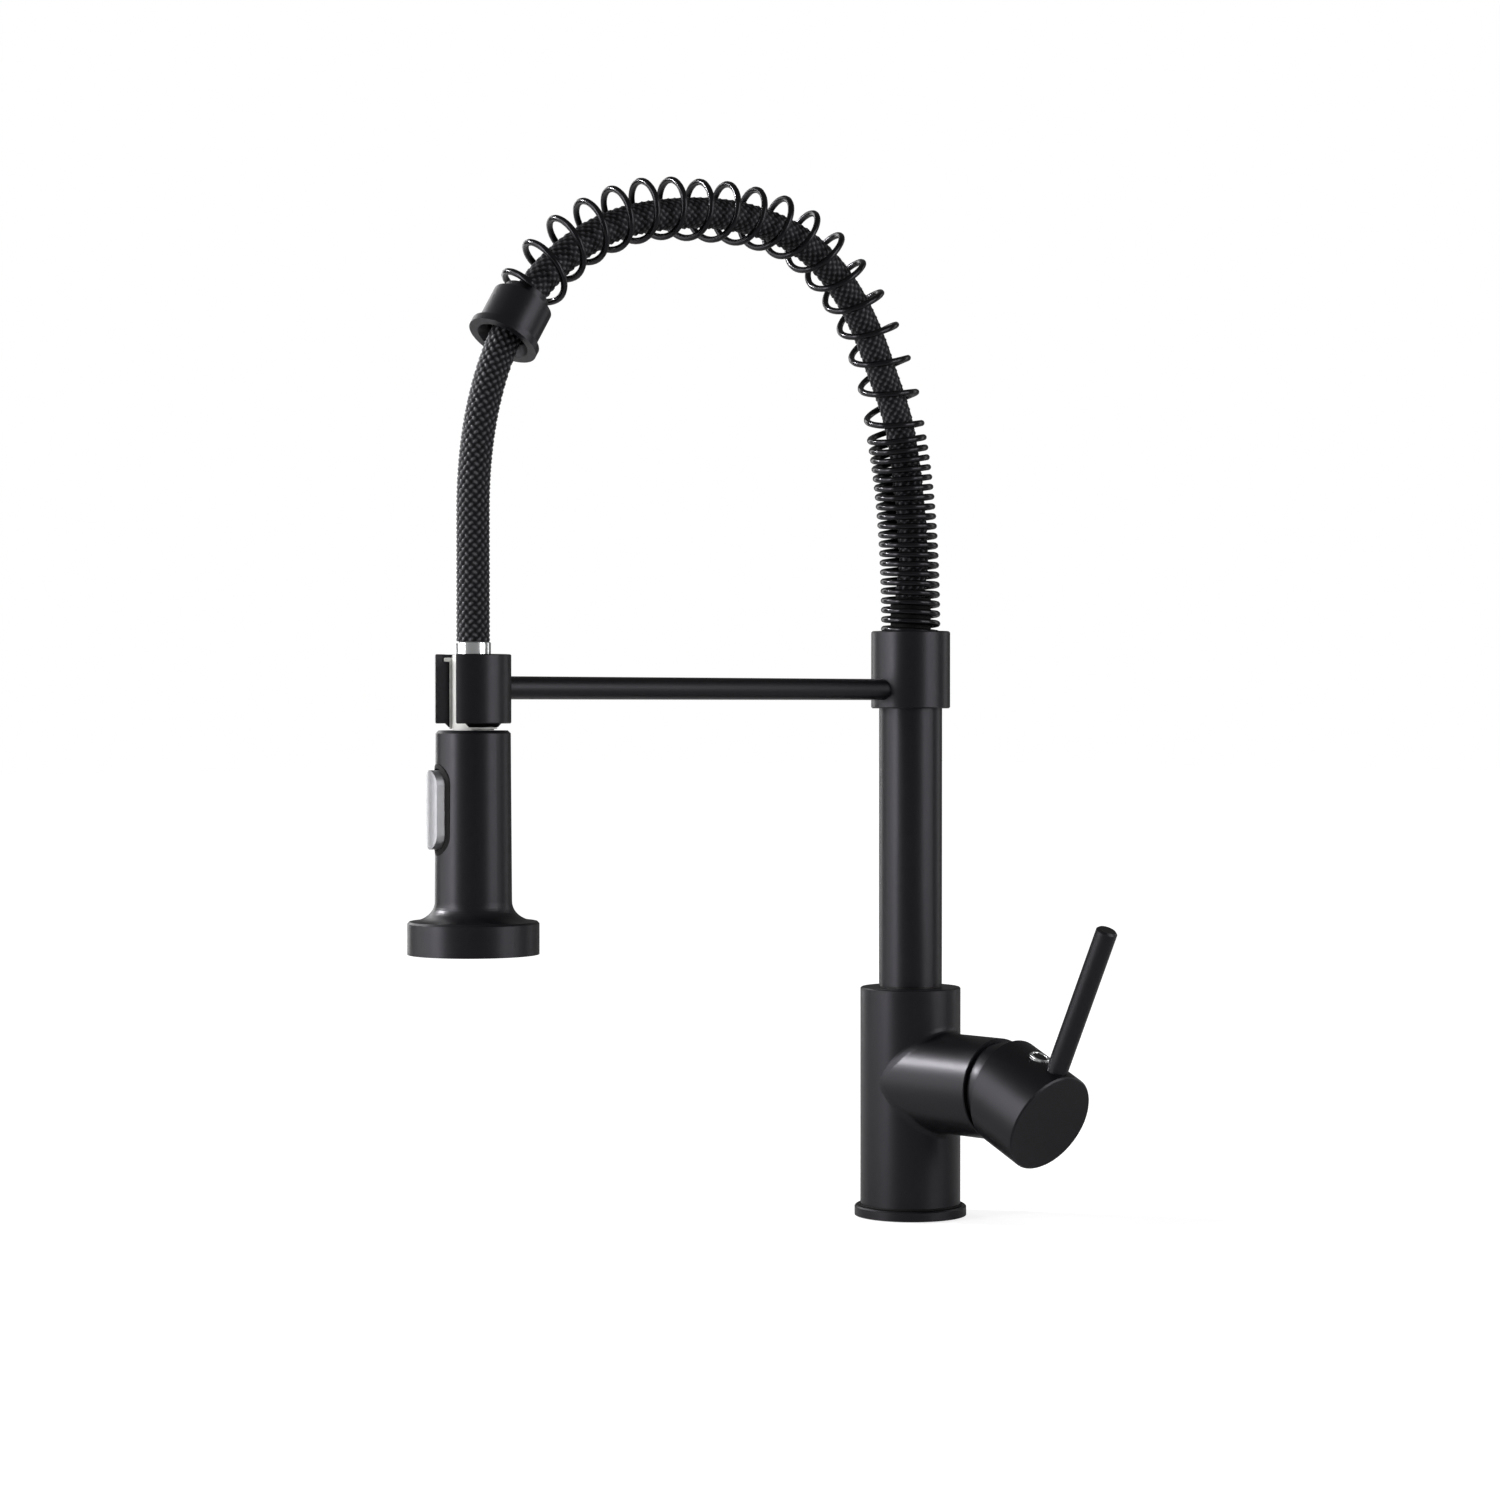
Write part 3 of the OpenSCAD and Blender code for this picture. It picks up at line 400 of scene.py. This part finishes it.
def finish_cad_nodes():
    for part in frame["record"]["subparts"]:
        for slot in frame["nodes"][part["node"]].material_slots:
            slot.material = FINISHES[part["material_slot"]]


finish_cad_nodes()


# ---------------------------------------------------------------- the hose's route
def bezier(points, t):
    a, b, c, d = points
    return a * (1 - t) ** 3 + b * 3 * t * (1 - t) ** 2 + c * 3 * t * t * (1 - t) + d * t**3


def bezier_slope(points, t):
    a, b, c, d = points
    return (b - a) * (1 - t) ** 2 + (c - b) * 2 * t * (1 - t) + (d - c) * t * t


class Route:
    """The middle line of the hose: up from the collar, over the arch and down to the head."""

    def __init__(self):
        rise, flat_top, steps = 179 * MM, 71 * MM, 320
        apex_share, foot_share = 0.45, 0.25  # of the reach, and of the rise
        rising_pull, falling_pull = 0.7, 0.534  # of the rise, for the two sides' straightness
        self.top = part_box("collar")[1].z
        self.reach = -centre_of("spray_neck").y
        self.foot = self.top + foot_share * rise  # the falling side is straight below this
        out, high = apex_share * self.reach, self.top + rise
        start, apex, end = (0, self.top), (out, high), (self.reach, self.foot)
        rising = (0, self.top + rising_pull * rise)
        falling = (self.reach, self.foot + falling_pull * rise)
        self.curves = [
            self.flat(start, rising, (out - flat_top, high), apex),
            self.flat(apex, (out + flat_top, high), falling, end),
        ]
        self.table = [(0.0, 0.0)]  # the length so far and the parameter, 0 to 2 over the arch
        last = self.on_arch(0)
        for i in range(1, steps + 1):
            here = self.on_arch(2 * i / steps)
            self.table.append((self.table[-1][0] + (here - last).length, 2 * i / steps))
            last = here
        self.length = self.table[-1][0]

    @staticmethod
    def flat(*pairs):
        return [Vector((0, -out, height)) for out, height in pairs]

    def half(self, u):
        """The rising or the falling curve, and the parameter within it."""
        return (self.curves[0], u) if u < 1 else (self.curves[1], u - 1)

    def on_arch(self, u):
        return bezier(*self.half(u))

    def parameter(self, s):
        """The parameter at a length s, looked up in the table."""
        low, high = 0, len(self.table) - 1
        while high - low > 1:
            middle = (low + high) // 2
            low, high = (middle, high) if self.table[middle][0] <= s else (low, middle)
        (s0, u0), (s1, u1) = self.table[low], self.table[high]
        return u0 + (u1 - u0) * (s - s0) / (s1 - s0)

    def at(self, s):
        """The point at a length s from the collar's top, where the arch begins."""
        if s < 0:
            return Vector((0, 0, self.top + s))
        if s > self.length:
            return Vector((0, -self.reach, self.foot - (s - self.length)))
        return self.on_arch(self.parameter(s))

    def heading(self, s):
        if s < 0:
            return Z.copy()
        if s > self.length:
            return -Z
        return bezier_slope(*self.half(self.parameter(s))).normalized()

    def out(self, s, angle):
        """The direction away from the route at an angle round it."""
        return math.cos(angle) * X + math.sin(angle) * self.heading(s).cross(X)


route = Route()
ferrule_mid = 0.82 * route.length  # a length along the route, like s everywhere
ferrule_half = 9.65 * MM


def in_metres(stops):
    """Stops of (place, offset) given in millimetres."""
    return [(place * MM, offset * MM) for place, offset in stops]


def eased(stops, s):
    """A value along the route that eases from stop to stop, where each stop is (place, value)."""
    if s <= stops[0][0]:
        return stops[0][1]
    for (s0, v0), (s1, v1) in zip(stops, stops[1:]):
        if s < s1:
            t = (s - s0) / (s1 - s0)
            return v0 + (v1 - v0) * t * t * (3 - 2 * t)
    return stops[-1][1]


def leaned(stops, s):
    """The route's point at a length s, moved outward by what the stops give there."""
    return route.at(s) + eased(stops, s) * route.out(s, OUTWARD)


# ---------------------------------------------------------------- pieces
def add_piece(name, mesh, slot, body=None, replaces=()):
    """Adds a mesh as a piece: its finish, the body it rides and the nodes it stands for."""
    piece = bpy.data.objects.new(name, mesh)
    bpy.context.scene.collection.objects.link(piece)
    mesh.materials.clear()
    mesh.materials.append(FINISHES[slot])
    if body:
        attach(piece, body)
    if replaces:
        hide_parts(*replaces)
    return piece


def seamless(bm, distance=SEAM):
    """Joins the two sides of a seam and turns every face outward."""
    bmesh.ops.remove_doubles(bm, verts=bm.verts, dist=distance)
    bmesh.ops.recalc_face_normals(bm, faces=bm.faces)


# ---------------------------------------------------------------- spring
WIRE_R = 1.4 * MM
COIL_R = 12.1 * MM


def coil_path():
    """Points along the coil: close turns up from the collar, then open ones over the arch."""
    seat_depth, seat_gap, lean_room = 8 * MM, 0.03 * MM, 1.35 * MM
    close_end, opening, close_pitch, open_pitch = 84 * MM, 12 * MM, 4.35 * MM, 15 * MM
    per_turn, turn = 40, 0.6  # the wire starts at this share of a turn
    sprung = in_metres(  # where the coil stands outward of the route, and how far
        [(84, 0), (120, 1.6), (190, 1.6), (232, -0.2)]
        + [(250, -0.2), (290, 2.6), (330, 3.0), (362, 1.0)]
    )

    def wire_at(s, turn):
        return leaned(sprung, s) + COIL_R * route.out(s, -2 * math.pi * turn)

    points = []
    s = WIRE_R + seat_gap - seat_depth
    end = ferrule_mid - ferrule_half - WIRE_R - lean_room
    while s < end:
        points.append(wire_at(s, turn))
        opened = min(1.0, max(0.0, (s - close_end) / opening))
        turns_per_metre = 1 / close_pitch + opened * (1 / open_pitch - 1 / close_pitch)
        turn += 1 / per_turn
        s += 1 / per_turn / turns_per_metre
    points.append(wire_at(end, turn))
    return points


def swept_wire(name, points, radius):
    """A round wire along a row of points, made as a bevelled curve and turned into a mesh."""
    curve = bpy.data.curves.new(name, "CURVE")
    curve.dimensions = "3D"
    curve.bevel_depth = radius
    curve.bevel_resolution = 3
    curve.use_fill_caps = True
    spline = curve.splines.new("POLY")
    spline.points.add(len(points) - 1)
    for control, point in zip(spline.points, points):
        control.co = (*point, 1)
    holder = bpy.data.objects.new(name, curve)
    bpy.context.scene.collection.objects.link(holder)
    swept = holder.evaluated_get(bpy.context.evaluated_depsgraph_get())
    mesh = bpy.data.meshes.new_from_object(swept)
    bpy.data.objects.remove(holder)
    bm = bmesh.new()
    bm.from_mesh(mesh)
    seamless(bm)
    bm.to_mesh(mesh)
    bm.free()
    mesh.shade_smooth()
    return mesh


def make_spring():
    coil = swept_wire("coil_spring", coil_path(), WIRE_R)
    add_piece("coil_spring", coil, "black_spring", "spout", ["spring"])


# ---------------------------------------------------------------- braided hose
HOSE_R = 6.9 * MM
WEAVE_DEPTH = 1.1 * MM
STRANDS = 12  # in each direction


def over_under(a, b):
    """Height of a plain weave, 0 to 1, where a and b count the strands of the two directions."""
    i, j = round(a), round(b)
    flank = 1.2  # how steeply a strand falls off on both sides
    across_a, across_b = math.cos(math.pi * (a - i)), math.cos(math.pi * (b - j))
    lift_a = 0.5 + 0.5 * math.cos(math.pi * (i + b))
    lift_b = 0.5 - 0.5 * math.cos(math.pi * (j + a))
    return max(across_a**flank * lift_a, across_b**flank * lift_b)


def braided_tube(name, start, end, columns, per_strand):
    """A tube along the route whose skin is woven from strands that pass over and under."""
    lay = 2 * math.pi * HOSE_R  # one turn of a strand at 45 degrees
    rows = max(2, int((end - start) / lay * STRANDS * per_strand))
    leaning = in_metres(  # where the hose lies outward of the route, and how far
        [(16, 0), (34, 3.0), (88, 3.0), (124, 0)]
        + [(180, 0), (225, -1.2), (265, -1.2), (310, 0)]
    )
    bm = bmesh.new()
    bmesh.ops.create_grid(bm, x_segments=columns, y_segments=rows, size=1, calc_uvs=False)
    # the weave's height, which the braid's material also turns into a painted highlight on the
    # crowns and painted shade in the gaps
    crown = bm.verts.layers.float.new("crown")
    for v in bm.verts:
        u, w = (v.co.x + 1) / 2, (v.co.y + 1) / 2
        s = start + (end - start) * w
        along = s / lay * STRANDS
        height = over_under(u * STRANDS + along, u * STRANDS - along)
        v[crown] = height
        skin_r = HOSE_R - WEAVE_DEPTH * (1 - height)
        v.co = leaned(leaning, s) + skin_r * route.out(s, 2 * math.pi * u)
    seamless(bm, 2 * SEAM)
    mesh = mesh_from(bm, name)
    mesh.shade_smooth()
    return mesh


def make_hose():
    """The hose inside the spring, and its drop from the ferrule to the spray head."""
    first = 7 * MM  # above the collar's top
    last = route.length + route.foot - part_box("hose_connector")[1].z
    inside = braided_tube("hose_in_spring", first, ferrule_mid, columns=64, per_strand=4)
    add_piece("hose_in_spring", inside, "braid", "spout", ["hose_upper"])
    drop = braided_tube("hose_drop", ferrule_mid, last, columns=96, per_strand=6)
    lower = add_piece("hose_drop", drop, "braid", None, ["hose_lower"])
    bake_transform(lower)


# ---------------------------------------------------------------- turned and slotted parts
SHARP_EDGE = math.radians(35)
FACES_ROUND = 96


def edged_mesh_from(bm, name):
    """A mesh with smooth faces, and with its real edges kept sharp."""
    bmesh.ops.recalc_face_normals(bm, faces=bm.faces)
    mesh = mesh_from(bm, name)
    mesh.shade_smooth()
    mesh.set_sharp_from_angle(angle=SHARP_EDGE)
    return mesh


def turned(name, profile, place=None):
    """A closed outline of radius and height in metres, turned round the Z axis and then placed."""
    bm = bmesh.new()
    ring = [bm.verts.new((r, 0, z)) for r, z in profile]
    edges = [bm.edges.new((ring[i - 1], ring[i])) for i in range(len(ring))]
    bmesh.ops.spin(
        bm,
        geom=ring + edges,
        cent=(0, 0, 0),
        axis=Z,
        angle=2 * math.pi,
        steps=FACES_ROUND,
        use_merge=True,
    )
    if place:
        bmesh.ops.transform(bm, matrix=place, verts=bm.verts)
    return edged_mesh_from(bm, name)


def rounded_outline(inner, outer, low, high, edge):
    """A rectangular outline from inner to outer radius with its outer corners rounded."""
    steps = 4
    quarter = [math.pi / 2 * i / steps for i in range(steps + 1)]
    foot = [(outer - edge + edge * math.sin(a), low + edge - edge * math.cos(a)) for a in quarter]
    head = [(outer - edge + edge * math.cos(a), high - edge + edge * math.sin(a)) for a in quarter]
    return [(inner, low)] + foot + head + [(inner, high)]


def make_crimp_sleeve():
    """A black sleeve over the crimp at the foot of the hose, inside the spring."""
    gap, wall, edge, below_nipple = 0.05 * MM, 0.5 * MM, 0.2 * MM, 14.3 * MM
    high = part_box("hose_crimp")[1]
    inner, foot = high.x + gap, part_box("hose_nipple")[1].z - below_nipple
    outline = rounded_outline(inner, inner + wall, foot, high.z, edge)
    add_piece("crimp_sleeve", turned("crimp_sleeve", outline), "black_rubber", "spout")


def make_body_shade_ring():
    """A dark ring of painted shade in the corner between the body and its base ring, where the gap
    lies in shadow.
    """
    width, height, edge = 0.7 * MM, 0.8 * MM, 0.2 * MM
    wall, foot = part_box("valve_body")[1].y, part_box("base_ring")[1].z
    outline = rounded_outline(wall, wall + width, foot, foot + height, edge)
    # a black ring standing for the shadowed gap under the body: painted shade
    add_piece("body_shade_ring", turned("body_shade_ring", outline), "black_rubber", "base")


def slotted_ring(name, profile, half_slot, slot_name, replaced):
    """A ring round the hose's drop, with a parallel slot cut out of it toward the front."""
    columns = 72
    bm = bmesh.new()
    rows = []
    for r, z in profile:
        start = math.asin(half_slot / r)
        turn = 2 * (math.pi - start)
        row = []
        for i in range(columns + 1):
            a = start + turn * i / columns
            row.append(bm.verts.new((r * math.sin(a), -route.reach - r * math.cos(a), z)))
        rows.append(row)
    for k in range(len(rows)):
        a, b = rows[k - 1], rows[k]
        for i in range(columns):
            bm.faces.new((a[i], a[i + 1], b[i + 1], b[i]))
    for end in (0, columns):
        bm.faces.new([row[end] for row in rows])
    add_piece(name, edged_mesh_from(bm, name), slot_name, "spout", [replaced])


def make_dock():
    """The dock ring and its pale liner, with the neck showing in the slot between their walls."""
    low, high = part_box("dock_ring")
    liner_low, liner_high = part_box("dock_liner")
    outer, flange = high.x, liner_high.x
    liner, bore, flange_t = 9.6 * MM, 8.5 * MM, 1.6 * MM
    skirt, skirt_foot, skirt_top = 1.5 * MM, 0.4 * MM, 1.8 * MM
    gap, thin, edge, half_slot, liner_shows = 0.05 * MM, 0.3 * MM, 0.4 * MM, 6.75 * MM, 0.5 * MM
    bottom, seat = low.z + skirt, liner_high.z - flange_t
    ring = [
        (liner + gap, low.z),
        (liner + skirt_foot, low.z),
        (liner + skirt_top, bottom),
        (outer - edge, bottom),
        (outer, bottom + edge),
        (outer, high.z - edge),
        (outer - edge, high.z),
        (flange + thin, high.z),
        (flange + thin, seat - gap),
        (liner + gap, seat - gap),
    ]
    slotted_ring("dock_shell", ring, half_slot, "matte_black", "dock_ring")
    lining = [
        (bore, liner_low.z),
        (liner, liner_low.z),
        (liner, seat),
        (flange - thin, seat),
        (flange, seat + thin),
        (flange, liner_high.z - thin),
        (flange - thin, liner_high.z),
        (bore, liner_high.z),
    ]
    slotted_ring("dock_lining", lining, half_slot - liner_shows, "pale_plastic", "dock_liner")


def make_neck_sleeve():
    """A pale sleeve on the neck of the spray head, which shows in the dock's slot and under it."""
    neck_r, inside, outside, edge = 8.2 * MM, 0.02 * MM, 0.2 * MM, 0.08 * MM
    low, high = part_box("spray_shell")[1].z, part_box("spray_neck")[1].z
    outline = rounded_outline(neck_r + inside, neck_r + outside, low, high, edge)
    place = Matrix.Translation((0, -route.reach, 0))
    add_piece("neck_sleeve", turned("neck_sleeve", outline, place), "pale_plastic", "spray_head")


def stadium(half_width, half_height):
    """Points round an upright outline with half-round ends."""
    steps = 12
    straight = half_height - half_width
    points = []
    for side, start in ((1, 0), (-1, math.pi)):
        for i in range(steps + 1):
            a = start + math.pi * i / steps
            points.append((half_width * math.cos(a), side * straight + half_width * math.sin(a)))
    return points


def make_rocker_shade_ring():
    """A dark ring of painted shade: it stands for the shadowed gap round the rocker where it comes
    out of the shell.
    """
    half_width, gap, rocking, width = 6.2 * MM, 0.25 * MM, 0.8 * MM, 1.8 * MM
    shell_r, sunk, inner_proud, outer_proud = 15.45 * MM, 0.5 * MM, 0.45 * MM, 0.2 * MM
    low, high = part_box("mode_rocker")
    middle = (low.z + high.z) / 2
    half_height = (high.z - low.z) / 2
    turn = Matrix.Translation((0, -route.reach, middle)) @ Matrix.Rotation(HEAD_TURN, 4, "Z")
    inner = stadium(half_width + gap, half_height + rocking)
    outer = stadium(half_width + gap + width, half_height + rocking + width)
    section = (
        (inner, shell_r - sunk),
        (inner, shell_r + inner_proud),
        (outer, shell_r + outer_proud),
        (outer, shell_r - sunk),
    )
    bm = bmesh.new()
    rows = []
    for outline, out in section:
        bent = [turn @ Vector((w, -math.sqrt(out * out - w * w), h)) for w, h in outline]
        rows.append([bm.verts.new(point) for point in bent])
    for k in range(len(rows)):
        a, b = rows[k - 1], rows[k]
        for i in range(len(inner)):
            j = (i + 1) % len(inner)
            bm.faces.new((a[i], a[j], b[j], b[i]))
    seamless(bm)
    # a black ring put where the gap round the rocker lies in shade: painted shade
    add_piece("rocker_shade_ring", mesh_from(bm, "rocker_shade_ring"), "black_rubber", "spray_head")


def make_plug_trim():
    """The index plug's bright rounded rim and its dark middle."""
    rim_inset, wire, sides = 0.9 * MM, 0.6 * MM, 16
    pinhole, insert_t = 0.05 * MM, 0.15 * MM
    plug = frame["nodes"]["index_plug"]
    up = Vector((math.sin(HANDLE_DROP), 0, math.cos(HANDLE_DROP)))
    corners = [v.co.copy() for v in plug.data.vertices]
    face = max(corner.dot(up) for corner in corners)
    middle = sum((c for c in corners), Vector()) / len(corners)
    middle += (face - middle.dot(up)) * up
    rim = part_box("index_plug")[1].y - rim_inset
    place = Matrix.Translation(middle) @ Matrix.Rotation(HANDLE_DROP, 4, "Y")
    angles = [2 * math.pi * i / sides for i in range(sides)]
    round_wire = [(rim + wire * math.cos(a), wire * math.sin(a)) for a in angles]
    add_piece("plug_rim", turned("plug_rim", round_wire, place), "chrome", "handle")
    disc = [(pinhole, 0), (rim - wire, 0), (rim - wire, insert_t), (pinhole, insert_t)]
    add_piece("plug_insert", turned("plug_insert", disc, place), "black_plastic", "handle")


make_spring()
make_hose()
make_crimp_sleeve()
make_body_shade_ring()
make_plug_trim()
make_dock()
make_neck_sleeve()
make_rocker_shade_ring()
